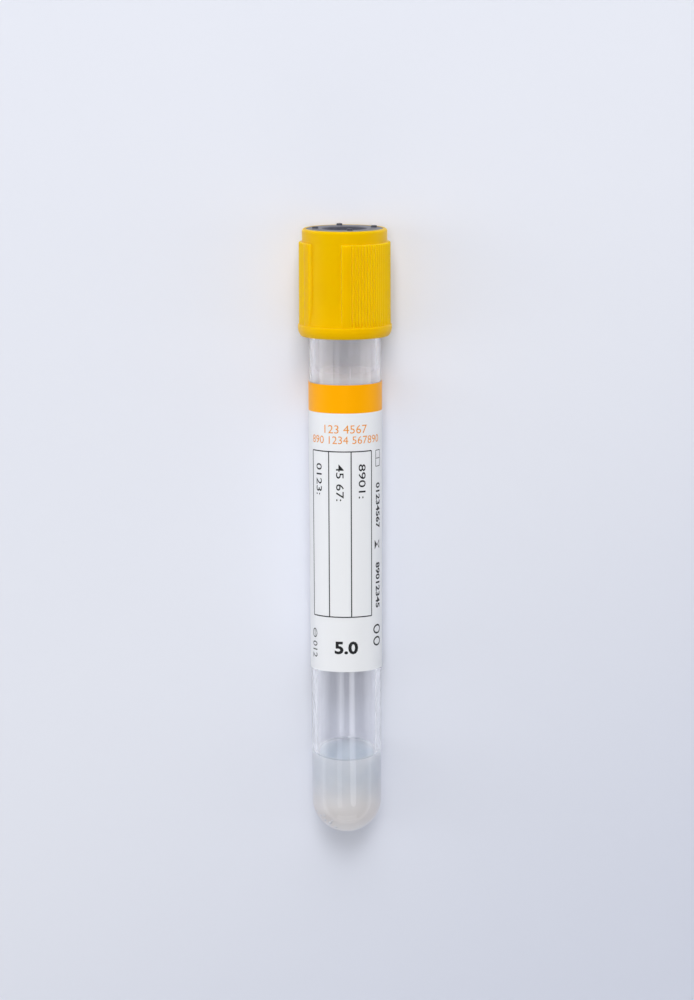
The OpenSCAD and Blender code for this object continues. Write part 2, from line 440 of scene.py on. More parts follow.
# %% Build the tube
mouth_edge = 0.2
inner_mouth_r = mouth_r - wall
inner_base_r = base_r - wall
tube_outline = (
    [(0, 0)] + arc(0, base_r, base_r, -90, 0, 40)[1:]
    + between((base_r, base_r), (mouth_r, tube_len - mouth_edge), 6)
    + arc(mouth_r - mouth_edge, tube_len - mouth_edge, mouth_edge, 15, 90, 4)
    + arc(inner_mouth_r + mouth_edge, tube_len - mouth_edge, mouth_edge, 90, 180, 5)
    + between((inner_mouth_r, tube_len - mouth_edge), (inner_base_r, base_r), 6)
    + arc(0, base_r, inner_base_r, 0, -90, 40)[1:-1] + [(0, wall)]
)
tube = piece("clear_tube", *turned(tube_outline, 768), "vessel", "clear_plastic", ["tube"])
print("clear tube:", len(tube.data.polygons), "faces")

# %% [markdown]
# Clear plastic needs no colour map, but it isn't perfect either: faint flow lines run along
# the wall and ripple its surface. They also dull it a little, on its inner side only, where
# the moulding core and the dried spray have taken the gloss. A point belongs to that side
# if it lies deeper than half the wall, counted from the axis or from the round end's middle.

# %% Clear plastic
clear, tree, shader = finish_of("clear_pet")
feed(shader, {"Base Color": (0.985, 0.988, 1.0, 1), "Transmission Weight": 1.0,
              "IOR": 1.56})
flow = use(tree, flow_lines, Across=700.0, Along=4.0)
bumped(tree, shader, flow["Height"], 0.015, 0.02)
dress(clear, tube)

# %% The duller inner side
place = upright_parts(tree)
past_end = maths(tree, "SUBTRACT", place["Z"], base_r * MM)
above_end = maths(tree, "MAXIMUM", past_end, 0.0)
spoke = node(tree, "CombineXYZ", {
    "X": place["X"], "Y": place["Y"], "Z": maths(tree, "MINIMUM", past_end, 0.0)}).outputs[0]
outside = maths(tree, "MULTIPLY_ADD", above_end, taper, base_r * MM)
in_wall = maths(tree, "SUBTRACT", length_of(tree, spoke), outside)
inner_side = maths(tree, "LESS_THAN", in_wall, -wall / 2 * MM)
dull = maths(tree, "MULTIPLY_ADD", flow["Mask"], 0.02, 0.09)
feed(shader, {"Roughness": times(tree, inner_side, dull)})

# %% [markdown]
# The inside carries a dried spray that clouds the wall near the mouth. Beside the label's
# upper edge a pale diffuse layer is laid on the inner side: painted light that brightens the
# neck towards the label. Mix Shaders lay both over the plastic. Light that only passes
# through on its way to something else is let through with a slight tint, which keeps the
# shadow of a clear thing light, as it is. Towards the sides of the tube that light crosses
# more wall and loses more.

# %% Spray, a painted pale veil and light that passes through
spray_low, spray_high = 60, 90
painted_light_band = 6.0
height = maths(tree, "DIVIDE", place["Z"], MM)
high_up = ramp(tree, height, spray_low, spray_high)
cloudy = maths(tree, "MULTIPLY_ADD", high_up, 0.08, 0.02)
spray = node(tree, "BsdfTranslucent", {"Color": (0.95, 0.87, 0.85, 1)}).outputs[0]
sprayed = node(tree, "MixShader", {0: cloudy, 1: shader.outputs[0], 2: spray})

# Painted light: a pale diffuse veil on the inner side that grows towards the label's upper edge.
to_label = ramp(tree, height, label_top + painted_light_band, label_top + 0.3)
painted_light_veil = times(tree, to_label, to_label, high_up, inner_side, 0.32)
painted_light_layer = node(tree, "BsdfDiffuse", {"Color": (1.0, 0.95, 0.95, 1)}).outputs[0]
painted_light_mix = node(tree, "MixShader", {0: painted_light_veil, 1: sprayed.outputs[0], 2: painted_light_layer})

path = node(tree, "LightPath").outputs
passing = maths(tree, "MAXIMUM", path["Is Shadow Ray"], path["Is Diffuse Ray"])
edge = node(tree, "LayerWeight", {"Blend": 0.4}).outputs["Facing"]
tint = blend(tree, edge, (0.985, 0.985, 0.99, 1), (0.72, 0.72, 0.75, 1))
through = node(tree, "BsdfTransparent", {"Color": tint}).outputs[0]
mix = node(tree, "MixShader", {0: passing, 1: painted_light_mix.outputs[0], 2: through})
feed(tree.nodes["Material Output"], {"Surface": mix.outputs[0]})
print("clear plastic:", len(tree.nodes), "nodes")

# %% [markdown]
# ## The separator gel
# The gel was dosed into the tube and spun down at a slight angle, so its surface leans: it
# stands lower at the front. It wets the wall, so its edge climbs a little. The mesh
# is a rod with a round end whose rings follow the lean near the top.

# %% Measure the gel
gel_overlap = 0.02
gel_wall = wall - gel_overlap
gel_probe = probe("separator_gel")
near_wall = inner_base_r - 0.1
front_h, back_h = drop(gel_probe, 0, -near_wall), drop(gel_probe, 0, near_wall)
gel_h = (front_h + back_h) / 2
gel_r = wall_r(gel_h) - gel_wall
gel_dish = gel_h - drop(gel_probe, 0, 0)
lean = math.atan2(back_h - front_h, 2 * near_wall)
climb, climb_width = 0.45, 0.25
edge_lift = 0.1
print("gel %.2f high in front and %.2f at the back, leaning %.1f degrees, dished %.2f"
      % (front_h, back_h, math.degrees(lean), gel_dish))


def gel_surface(x, y, r):
    """Height of the gel's top at a point: a leaning plane, dished, that climbs at the wall"""
    share = min(r / gel_r, 1)
    meniscus = climb * (math.exp(-(gel_r - r) / climb_width) - 1)
    return gel_h + y * math.tan(lean) - gel_dish * (1 - share * share) + meniscus + edge_lift


# %% Build the gel
def make_gel():
    """Corners and faces of the plug, and the number of faces before the free surface"""
    steps, side_rings = 160, 20
    verts, rings = [(0, 0, wall - gel_overlap)], []

    def ring(points):
        rings.append(list(range(len(verts), len(verts) + steps)))
        verts.extend(points)

    turn = [at(360 * k / steps, 1, 0)[:2] for k in range(steps)]
    for r, h in arc(0, base_r, base_r - gel_wall, -90, 0, 30)[1:]:
        ring([(x * r, y * r, h) for x, y in turn])
    rim = [gel_surface(x * gel_r, y * gel_r, gel_r) for x, y in turn]
    for k in range(1, side_rings + 1):
        heights = [base_r + (h - base_r) * k / side_rings for h in rim]
        ring([(x * (wall_r(h) - gel_wall), y * (wall_r(h) - gel_wall), h)
              for (x, y), h in zip(turn, heights)])
    wall_rings = len(rings)
    for share in [1 - 0.004 * 1.35 ** k for k in range(17)] + [0.4, 0.25, 0.12]:
        r = gel_r * share
        ring([(x * r, y * r, gel_surface(x * r, y * r, r)) for x, y in turn])
    last = len(verts)
    verts.append((0, 0, gel_surface(0, 0, 0)))
    ends = [(k, (k + 1) % steps) for k in range(steps)]
    faces = [(0, rings[0][b], rings[0][a]) for a, b in ends]
    for low, high in zip(rings, rings[1:]):
        faces += [(low[a], low[b], high[b], high[a]) for a, b in ends]
    faces += [(rings[-1][a], rings[-1][b], last) for a, b in ends]
    return verts, faces, steps * wall_rings


gel_verts, gel_faces, first_top = make_gel()
gel = piece("gel_plug", gel_verts, gel_faces, "vessel", "gel", ["separator_gel"], sharp=70)
print("gel plug:", len(gel.data.polygons), "faces")

# %% [markdown]
# The gel is cloudy, so light wanders inside it before it comes out. Its colour is set by
# height: cool grey-blue near its surface, paler and warmer in the round end, whose paler tone
# is painted light. Where it wets the wall there is no air between them, so that side has next
# to no shine of its own. The free surface shines. Its steep edge, which turns away from the
# light above, and a thin line where the surface meets the wall are painted dark: painted shade.

# %% Gel finishes
def gel_look(name, shine, low_tone, mid_tone, high_tone):
    """Cloudy gel whose tone changes with height"""
    finish, tree, shader = finish_of(name)
    height = use(tree, height_on_tube)["Height"]
    # Tone by height; the paler, warmer round end is painted light.
    colour = blend(tree, ramp(tree, height, 0.5, 3.5), low_tone, mid_tone)
    colour = blend(tree, ramp(tree, height, 3.5, 11.0), colour, high_tone)
    cloud = use(tree, patches, Scale=420.0)["Mask"]
    colour = blend(tree, times(tree, cloud, 0.12), colour, (0.82, 0.81, 0.80, 1))
    feed(shader, {
        "Roughness": 0.06, "IOR": 1.45, "Specular IOR Level": shine, "Subsurface Weight": 1.0,
        "Subsurface Radius": (1.0, 0.95, 0.9), "Subsurface Scale": 0.008})
    return finish, tree, shader, colour


cool = (0.545, 0.575, 0.625, 1)
gel_at_wall, tree, shader, colour = gel_look(
    "gel_at_wall", 0.02, (0.86, 0.825, 0.80, 1), (0.70, 0.665, 0.65, 1), cool)
place = upright_parts(tree)
rise = maths(tree, "MULTIPLY_ADD", place["Y"], -math.tan(lean), place["Z"])
edge_h = (gel_h + edge_lift) * MM
# Painted shade: a thin dark line just below the gel's top edge, along the wall.
painted_contact_shade = ramp(tree, rise, edge_h - 0.30 * MM, edge_h - 0.12 * MM)
feed(shader, {"Base Color": blend(tree, painted_contact_shade, colour, (0.33, 0.39, 0.46, 1))})
dress(gel_at_wall, gel)

# %% The free surface and its painted dark edge
gel_on_top, tree, shader, colour = gel_look("gel_on_top", 0.9, cool, cool, (0.55, 0.62, 0.69, 1))
# Painted shade: the steep edge of the free surface is coloured darker.
painted_steep_shade = ramp(tree, off_axis(tree), gel_r - 0.30, gel_r - 0.10)
feed(shader, {"Base Color": blend(tree, painted_steep_shade, colour, (0.30, 0.36, 0.43, 1))})
gel.data.materials.append(gel_on_top)
for face in gel.data.polygons[first_top:]:
    face.material_index = 1

# %% [markdown]
# A few tiny bubbles were caught between the gel and the wall near the round end. Each is a
# flat grey bead half sunk in the gel, its grey painted shade for the bubble's dark rim, with a
# smaller white bead in its middle as painted light, where light falls through it.

# %% Bubbles
def bead(centre, r, flat, steps=20):
    """A small ball round a point of the wall, flattened towards the axis"""
    outline = [(0, -r)] + arc(0, 0, r, -90, 90, 10)[1:-1] + [(0, r)]
    verts, faces = turned(outline, steps)
    outward = Vector((centre[0], centre[1], 0)).normalized()
    placed = []
    for v in map(Vector, verts):
        v -= outward * v.dot(outward) * (1 - flat)
        placed.append(tuple(v + Vector(centre)))
    return placed, faces


bubble_spots = [(-46, 2.6, 0.36), (-58, 3.0, 0.32), (-52, 3.8, 0.24), (-66, 3.7, 0.28),
                (-40, 1.8, 0.30), (-60, 2.1, 0.24), (-36, 3.0, 0.18), (-74, 4.3, 0.20)]
bubble_verts, bubble_faces = [], []
# Each bubble is two beads: a grey one painted as its dark rim (painted shade) and a smaller white one as its
# bright middle (painted light).
painted_shade_bead, painted_light_core = (1.0, 0.4), (0.6, 0.95)
for share, flat in (painted_shade_bead, painted_light_core):
    first_core = len(bubble_faces)
    for angle, h, r in bubble_spots:
        around_axis = math.sqrt((base_r - gel_wall) ** 2 - (base_r - h) ** 2)
        verts, faces = bead(at(angle, around_axis, h), r * share, flat)
        bubble_faces += [[i + len(bubble_verts) for i in f] for f in faces]
        bubble_verts += verts
bubbles = piece("gel_bubbles", bubble_verts, bubble_faces, "vessel", "gel", sharp=80)
print("bubbles:", len(bubble_spots))


# %% Bubble finishes
def bead_finish(name, pale, deep, roughness):
    """A glossy bead with a slight change of tone from one to the next"""
    material, tree, shader = finish_of(name)
    tone = blend(tree, use(tree, patches, Scale=3000.0)["Mask"], pale, deep)
    feed(shader, {"Base Color": tone, "Roughness": roughness})
    return material


dress(bead_finish("gel_bubbles", (0.66, 0.68, 0.72, 1), (0.45, 0.47, 0.51, 1), 0.08), bubbles)
# The white cores are painted light.
bubbles.data.materials.append(
    bead_finish("bubble_cores_painted_light", (1.0, 1.0, 1.0, 1), (0.93, 0.93, 0.95, 1), 0.05))
for face in bubbles.data.polygons[first_core:]:
    face.material_index = 1

# %% [markdown]
# ## The label
# One white film is wrapped round the tube and stops just short of itself at the back, which
# leaves a narrow seam. Its upper edge carries an orange band of ink. The film is a thin
# closed shell of the tube's own taper, and the band is its ink's extra thickness.

# %% Build the label's film
ink_t = 0.02
band_h = 5.1
glue = 0.02
label_probe = probe("label")
half_wrap = max(a / 4 for a in range(150 * 4, 180 * 4)
                if feel(label_probe, a / 4, label_low + 5))
band_low_h = label_top - band_h
film_inner = [(label_low, glue), (band_low_h, glue), (label_top, glue)]
film_outer = [(label_top, film_t + ink_t), (band_low_h, film_t + ink_t), (band_low_h, film_t),
              (label_low, film_t)]
print("label wraps %.0f degrees" % (2 * half_wrap))


def make_film():
    """Corners and faces of the film: its outline swept round the tube, and two end faces"""
    outline = [(wall_r(h) + t, h) for h, t in film_inner + film_outer]
    steps, n = 220, len(outline)
    verts, faces = [], []
    for k in range(steps + 1):
        verts += [at(-half_wrap + 2 * half_wrap * k / steps, r, h) for r, h in outline]
    for k in range(steps):
        faces += [(k * n + i, k * n + (i + 1) % n, (k + 1) * n + (i + 1) % n, (k + 1) * n + i)
                  for i in range(n)]
    faces += [tuple(range(n)), tuple(steps * n + i for i in range(n))]
    return verts, faces


film = piece("label_film", *make_film(), "vessel", "label_film", ["label"])

# %% [markdown]
# The film is a satin white plastic paper. Its surface has a very fine grain, and the ink of
# the band is a little glossier than the bare film. It is thin enough for some light to soak
# through, so its shadow isn't as deep as the cap's. Its back, which shows through the clear
# tube above the label's edge, has no ink: it is plain paper under clear glue.

# %% Film finish
film_finish, tree, shader = finish_of("label_film")
height = maths(tree, "DIVIDE", upright_parts(tree)["Z"], MM)
band = maths(tree, "GREATER_THAN", height, band_low_h)
fibre = use(tree, pebble, Scale=9000.0)
grey = times(tree, fibre["Mask"], 0.25)
white = blend(tree, grey, (0.80, 0.805, 0.825, 1), (0.77, 0.775, 0.80, 1))
orange = blend(tree, grey, (0.97, 0.40, 0.0, 1), (0.93, 0.37, 0.0, 1))
feed(shader, {
    "Base Color": blend(tree, band, white, orange),
    "Specular Tint": blend(tree, band, (1, 1, 1, 1), (1.0, 0.55, 0.05, 1)),
    "Roughness": maths(tree, "MULTIPLY_ADD", band, -0.05, 0.45)})
bumped(tree, shader, fibre["Height"], 0.12, 0.03)


def soaked(tree, shader, light_through=0.62):
    """Lets some of the light soak through thin paper, for shadows only"""
    shadow_ray = node(tree, "LightPath").outputs["Is Shadow Ray"]
    share = times(tree, shadow_ray, light_through)
    through = node(tree, "BsdfTransparent", {"Color": (1, 0.99, 0.97, 1)}).outputs[0]
    mix = node(tree, "MixShader", {0: share, 1: shader.outputs[0], 2: through})
    feed(tree.nodes["Material Output"], {"Surface": mix.outputs[0]})


soaked(tree, shader)
dress(film_finish, film)

# %% The label's back
film_back, tree, shader = finish_of("label_back")
mottle = use(tree, patches, Scale=300.0)["Mask"]
paper_tone = blend(tree, mottle, (1.0, 0.985, 0.99, 1), (0.96, 0.945, 0.95, 1))
feed(shader, {"Base Color": paper_tone, "Roughness": 0.5})
soaked(tree, shader)
film.data.materials.append(film_back)
strips = len(film_inner + film_outer)
for number, face in enumerate(film.data.polygons):
    if number % strips < len(film_inner) - 1 and len(face.vertices) == 4:
        face.material_index = 1

# %% [markdown]
# ## Print
# The label's print lies on the film as thin sheets of ink: two orange lines of figures, a
# writing frame with three columns, figures that run down each column's head, two long
# numbers beside the frame, and a few marks. Each is drawn flat in millimetres, with x round
# the tube and y along it, then bent onto the film. Figures are plain digits, so nothing
# on the label names anyone.

# %% Helpers for print
ink_gap = 0.012
longest_step = 0.3
inks = {"dark": ([], []), "orange": ([], [])}


def bend_on(ink, flat_verts, faces, angle, h):
    """Bends a flat drawing onto the film, round a point of it, and adds it to an ink"""
    verts, all_faces = inks[ink]
    all_faces += [[i + len(verts) for i in f] for f in faces]
    for x, y in flat_verts:
        r = wall_r(h + y) + film_t + ink_gap
        verts.append(at(angle + math.degrees(x / r), r, h + y))


def box(ink, angle, h, wide, high):
    """A filled rectangle of ink in mm round a point of the film"""
    steps = max(1, round(wide / longest_step))
    flat = []
    for k in range(steps + 1):
        x = wide * (k / steps - 0.5)
        flat += [(x, -high / 2), (x, high / 2)]
    faces = [(2 * k, 2 * k + 2, 2 * k + 3, 2 * k + 1) for k in range(steps)]
    bend_on(ink, flat, faces, angle, h)


def ring(ink, angle, h, wide, high, line, steps=40):
    """A round or oval ring of ink"""
    flat = []
    for k in range(steps):
        c, s = math.cos(math.tau * k / steps), math.sin(math.tau * k / steps)
        flat += [(c * wide / 2, s * high / 2), (c * (wide / 2 - line), s * (high / 2 - line))]
    last = 2 * steps
    faces = [(k, (k + 2) % last, (k + 3) % last, k + 1) for k in range(0, last, 2)]
    bend_on(ink, flat, faces, angle, h)


def figures(ink, body, angle, h, wide, high, downwards=False, weight=0.0):
    """A line of digits that fills a box of the film. Downwards turns it by a quarter."""
    curve = bpy.data.curves.new("figures", "FONT")
    curve.body = body
    curve.offset = weight
    curve.resolution_u = 3
    carrier = bpy.data.objects.new("figures", curve)
    mesh = bpy.data.meshes.new_from_object(carrier)
    drawn = bmesh.new()
    drawn.from_mesh(mesh)
    xs = [v.co.x for v in drawn.verts]
    ys = [v.co.y for v in drawn.verts]
    for v in drawn.verts:
        x = ((v.co.x - min(xs)) / (max(xs) - min(xs)) - 0.5) * wide
        y = ((v.co.y - min(ys)) / (max(ys) - min(ys)) - 0.5) * high
        v.co = (y, -x, 0) if downwards else (x, y, 0)
    across = high if downwards else wide
    cuts = round(across / longest_step)
    for k in range(1, cuts):
        bmesh.ops.bisect_plane(drawn, geom=drawn.verts[:] + drawn.edges[:] + drawn.faces[:],
                               plane_co=(across * (k / cuts - 0.5), 0, 0), plane_no=(1, 0, 0))
    drawn.verts.index_update()
    bend_on(ink, [(v.co.x, v.co.y) for v in drawn.verts],
            [[v.index for v in f.verts] for f in drawn.faces], angle, h)
    drawn.free()
    bpy.data.objects.remove(carrier)
    bpy.data.meshes.remove(mesh)
    bpy.data.curves.remove(curve)


def arc_mm(degrees):
    """Length round the film of an angle"""
    return math.radians(degrees) * (wall_r(label_low + 25) + film_t)


# %% Two orange lines and the writing frame
figures("orange", "123 4567", 0.5, 74.65, arc_mm(71), 1.5)
figures("orange", "890 1234 567890", 0.5, 72.7, arc_mm(125), 1.4)

frame_low, frame_high = 40.6, 70.6
frame_left, frame_right = -61.5, 45
rule = 0.2
for angle, line in ((frame_left, rule), (-27.3, rule), (8.8, rule), (frame_right, rule)):
    box("dark", angle, (frame_low + frame_high) / 2, line, frame_high - frame_low)
for h in (frame_low, frame_high):
    box("dark", (frame_left + frame_right) / 2, h, arc_mm(frame_right - frame_left), rule)

# %% Figures down the columns, long numbers, and marks
for body, angle, h, wide, high, weight in (
        ("0123:", -46.3, 65.5, 5.7, 1.35, 0.006),
        ("45 67:", -9.0, 65.0, 6.6, 1.4, 0.006),
        ("8901:", 27.0, 65.2, 6.2, 1.4, 0.006),
        ("01234567", 62.0, 60.45, 8.3, 1.45, 0.025),
        ("89012345", 61.5, 45.95, 8.3, 1.45, 0.025)):
    figures("dark", body, angle, h, wide, high, downwards=True, weight=weight)
figures("dark", "5.0", 0.2, 35.0, 4.3, 2.35, weight=0.035)
figures("dark", "012", -60.0, 34.3, 3.0, 1.45, downwards=True)

# %% A halved box, a halved ring, an hourglass and two ovals
box_angle, box_h, half_box, thin_rule = 61.5, 69.05, 6.2, 0.13
for side_angle in (box_angle - half_box, box_angle + half_box):
    box("dark", side_angle, box_h, thin_rule, 2.9)
for h in (box_h - 1.45, box_h, box_h + 1.45):
    box("dark", box_angle, h, arc_mm(2 * half_box), thin_rule)

mark_angle, mark_h, mark_line = -60, 37.3, 0.16
ring("dark", mark_angle, mark_h, arc_mm(12.5), 1.7, mark_line)
box("dark", mark_angle, mark_h, mark_line, 1.6)

glass_angle, glass_h = 59, 53.4
bend_on("dark", [(-0.75, 0.85), (-0.75, -0.85), (0.05, 0)], [(0, 1, 2)], glass_angle, glass_h)
bend_on("dark", [(0.85, 0.85), (0.05, 0), (0.85, -0.85), (0.7, 0.5), (0.25, 0), (0.7, -0.5)],
        [(0, 1, 4, 3), (1, 2, 5, 4), (2, 0, 3, 5)], glass_angle, glass_h)
for h in (35.75, 37.95):
    ring("dark", glass_angle, h, arc_mm(20), 1.75, 0.3)

# %% Lay the print on the film
print_dark = piece("label_print_dark", *inks["dark"], "vessel", "label_film")
print_orange = piece("label_print_orange", *inks["orange"], "vessel", "label_film")
print("print:", len(print_dark.data.polygons), "and", len(print_orange.data.polygons), "faces")


# %% Ink finish
def ink_finish(name, full, thin):
    """Ink that lies a little unevenly on the film"""
    material, tree, shader = finish_of(name)
    spots = use(tree, patches, Scale=3000.0)["Mask"]
    feed(shader, {"Base Color": blend(tree, times(tree, spots, 0.3), full, thin),
                  "Roughness": 0.5, "Specular IOR Level": 0.2})
    return material


dress(ink_finish("ink_dark", (0.012, 0.012, 0.014, 1), (0.04, 0.04, 0.045, 1)), print_dark)
dress(ink_finish("ink_orange", (0.80, 0.30, 0.03, 1), (0.86, 0.42, 0.12, 1)), print_orange)

# %% [markdown]
# ## The stopper
# The rubber stopper fills the cap's upper cup. Its top shows a bevelled round well for the
# needle and four small nubs. The neck below is gripped by the cap's ledge, a collar seats
# on the tube's mouth, and a hollow plug closes the bore.

# %% Build the stopper
play = 0.03
head_r = cup_r - play
neck_r = ledge_r - play
stopper_low, nub_top = span("rubber_stopper")
plug_r = reach("rubber_stopper", stopper_low, tube_len - 0.5)[1]
well = mounts["needle_well"]["dims"]
well_r, well_length = well["r_mm"], well["length_mm"]
well_bevel = 0.7
bevel_low = cap_top - well_bevel
well_floor = bevel_low - well_length
lip_r = well_r + well_bevel
hollow_r = min(r for r, h in corners("rubber_stopper") if h < stopper_low + 0.01)
hollow_top = stopper_low + 6.5
head_low = ledge_high + play
collar_top = ledge_low - play
stopper_outline = (
    [(0, well_floor), (well_r / 2, well_floor)]
    + soft(well_r, well_floor, (-0.5, 0), (0, 0.5), 6)
    + between((well_r, well_floor + 0.5), (well_r, bevel_low - 0.1), 4)
    + soft(well_r, bevel_low, (0, -0.1), (0.07, 0.07))[1:]
    + soft(lip_r, cap_top, (-0.09, -0.09), (0.12, 0))
    + between((lip_r + 0.12, cap_top), (head_r - 0.25, cap_top), 6)
    + soft(head_r, cap_top, (-0.25, 0), (0, -0.25), 6)[1:]
    + soft(head_r, head_low, (0, 0.2), (-0.2, 0))
    + soft(neck_r, head_low, (0.15, 0), (0, -0.15))
    + soft(neck_r, collar_top, (0, 0.15), (0.15, 0))
    + soft(mouth_r, collar_top, (-0.2, 0), (0, -0.2))
    + [(mouth_r, tube_len), (plug_r, tube_len)]
    + soft(plug_r, stopper_low, (0, 0.8), (-0.8, 0), 8)
    + soft(hollow_r, stopper_low, (0.2, 0), (0, 0.2))
    + soft(hollow_r, hollow_top, (0, -1), (-1, 0), 8) + [(0, hollow_top)]
)
stopper = piece("stopper_rubber", *turned(stopper_outline, 192), "closure", "stopper_rubber",
                ["rubber_stopper"], sharp=40)
print("stopper: head %.2f, neck %.2f, plug %.2f, hollow %.2f" % (head_r, neck_r, plug_r, hollow_r))

# %% Four nubs on the stopper's top
nub_r = 0.55
nub_h = nub_top - cap_top
nub_circle = head_r - 1.6
nub_turn = 10
nub_outline = ([(0, -0.05)] + soft(nub_r, 0, (0.12, -0.05), (0, 0.08))
               + soft(nub_r, nub_h, (0, -0.2), (-0.25, 0)) + [(0, nub_h)])
nubs = []
for k in range(4):
    verts, faces = turned(nub_outline, 32)
    cx, cy, _ = at(nub_turn + 90 * k, nub_circle, 0)
    moved = [(x + cx, y + cy, z + cap_top) for x, y, z in verts]
    nubs.append(piece("stopper_nub_%d" % (k + 1), moved, faces, "closure", "stopper_rubber",
                      sharp=60))
print("nubs %.2f high on a circle of radius %.2f" % (nub_h, nub_circle))

# %% [markdown]
# The rubber is dark blue-grey and matte. It keeps some talc, which shows as paler dust in
# patches, and its flat face round the well is paler.

# %% Rubber finish
rubber, tree, shader = finish_of("stopper_rubber")
grain = use(tree, pebble, Scale=5000.0)
dust = use(tree, patches, Scale=900.0)["Mask"]
dark = blend(tree, grain["Mask"], (0.026, 0.026, 0.042, 1), (0.036, 0.036, 0.054, 1))
height = use(tree, height_on_tube)["Height"]
above_well = ramp(tree, height, cap_top - 0.25, cap_top - 0.05)
below_nubs = maths(tree, "SUBTRACT", 1.0, ramp(tree, height, cap_top + 0.03, cap_top + 0.12))
dust_and_pale_face = maths(tree, "ADD", times(tree, dust, 0.15), times(tree, above_well, below_nubs, 0.6))
feed(shader, {"Base Color": blend(tree, dust_and_pale_face, dark, (0.19, 0.19, 0.215, 1)),
              "Roughness": 0.5})
bumped(tree, shader, grain["Height"], 0.2, 0.04)
dress(rubber, stopper, *nubs)

# %% [markdown]
# ## The safety cap
# The cap is one moulding: a plain band under the rim, two broad raised panels with fine
# upright grooves for the fingers, and a flare that runs down into a barrel-shaped hem. A
# turned outline can't hold the panels, so the outer wall is a grid of angles and heights
# whose radius comes from a formula: the turned wall, or the panel where that stands
# further out, less a round groove. The columns crowd at the grooves and panel sides.

# %% The cap's wall as a formula
panel_edge = 0.2
side_draft = 1.1
rim_round = 0.5
groove_w = groove_r * 1.25
flare_w = flare_r - cap_r
flare_top = hem_top + flare_h
flare_arc = (flare_h ** 2 + flare_w ** 2) / (2 * flare_w)


def plain_wall(h):
    """Radius of the wall and its flare, without the panels"""
    if h >= flare_top:
        return cap_r
    return cap_r + flare_arc - math.sqrt(flare_arc ** 2 - (flare_top - h) ** 2)


def panel_height(angle, h):
    """How far a grip panel stands out from the straight wall at an angle and a height"""
    away = (angle - panel_turn) % (360 / panel_count)
    away = min(away, 360 / panel_count - away)
    share = 1 - ease(panel_arc / 2 - side_draft, panel_arc / 2 + side_draft, away)
    drop = max(h - (panel_top - panel_edge), 0)
    rise = panel_r - cap_r - (panel_edge - math.sqrt(max(panel_edge ** 2 - drop ** 2, 0)))
    nearest = (math.floor(away / rib_pitch) + 0.5) * rib_pitch
    if nearest < rib_pitch * grooves / 2:
        gap = math.radians(abs(away - nearest)) * panel_r
        rise -= groove_r * (1 - ease(0, groove_w, gap))
    return rise * share


def cap_angles():
    """Angles of the grid's columns: dense over grooves and panel sides, wide on plain walls"""
    cuts = set()
    half = panel_arc / 2
    last = rib_pitch * (grooves - 1) / 2
    gap = 360 / panel_count - panel_arc
    sides = [half + side_draft * s / 4 for s in range(-5, 6)]
    margins = [(half + last) / 2 + s for s in (-3, -1, 1, 3)]
    plain = [half + 2 * side_draft + (gap - 4 * side_draft) * k / 20 for k in range(21)]
    for p in range(panel_count):
        middle = panel_turn + 360 / panel_count * p
        for k in range(grooves):
            groove = (k - (grooves - 1) / 2) * rib_pitch
            for quarter in range(-4, 5):
                cuts.add(middle + groove + math.degrees(quarter / 4 * groove_w / panel_r))
        for edge in sides + margins:
            cuts.update((middle + edge, middle - edge))
        cuts.update(middle + edge for edge in plain)
    return sorted({round(c % 360, 4) for c in cuts})


angles = cap_angles()

# %% The cap's rows
skirt_lead = 0.35
hem_tuck = ((band_low - cap_low) ** 2 + (hem_r - foot_r) ** 2) / (2 * (hem_r - foot_r))
tuck_start = -math.degrees(math.asin((band_low - cap_low) / hem_tuck))


def cap_rows():
    """(radius, height) of the rows, from the skirt's foot outwards. No radius: the formula."""
    tuck = arc(hem_r - hem_tuck, band_low, hem_tuck, tuck_start + 4, 0, 12)
    rows = soft(skirt_r + skirt_lead, cap_low, (0, 0.02), (0.06, 0), 2)
    rows += soft(foot_r, cap_low, (-0.14, 0), (tuck[0][0] - foot_r, tuck[0][1] - cap_low))
    rows += tuck[1:] + [(hem_r, band_high)]
    rows += arc(hem_r - hem_lip, band_high, hem_lip, 0, 90, 6)[1:]
    rows += [(None, hem_top + 0.03 * k) for k in (0.4, 1, 2)]
    rows += [(None, hem_top + 0.1 + (flare_h - 0.1) * k / 26) for k in range(27)]
    straight = panel_top - panel_edge - flare_top
    rows += [(None, flare_top + straight * k / 5) for k in range(1, 6)]
    rows += [(None, panel_top - panel_edge * (1 - math.sin(math.radians(a))))
             for a in range(12, 90, 11)]
    rows += soft(cap_r, panel_top, (0.02, 0), (0, 0.1), 3)
    rows += between((cap_r, panel_top + 0.1), (cap_r, cap_top - rim_round - 0.05), 3)
    rows += arc(cap_r - rim_round, cap_top - rim_round, rim_round, 0, 90, 10)
    rows += soft(cup_r, cap_top, (0.08, 0), (0, -0.08))
    rows += between((cup_r, cap_top - 0.08), (cup_r, ledge_high), 4)
    rows += [(ledge_r, ledge_high), (ledge_r, ledge_low), (skirt_r, ledge_low)]
    rows += between((skirt_r, ledge_low - 0.1), (skirt_r, cap_low + skirt_lead), 4)
    return rows


# %% Build the cap
def make_cap():
    """Corners and faces of the grid, which closes round the axis and from foot to foot"""
    rows, columns = cap_rows(), len(angles)
    verts, faces = [], []
    for r, h in rows:
        for a in angles:
            formula = max(plain_wall(h), cap_r + panel_height(a, h)) if r is None else r
            verts.append(at(a, formula, h))
    for i in range(len(rows)):
        low, high = i * columns, (i + 1) % len(rows) * columns
        for k in range(columns):
            n = (k + 1) % columns
            faces.append((low + k, low + n, high + n, high + k))
    return verts, faces


cap = piece("cap_shell", *make_cap(), "closure", "cap_plastic", ["safety_cap"], sharp=50)
print("cap shell:", len(angles), "columns,", len(cap.data.polygons), "faces")
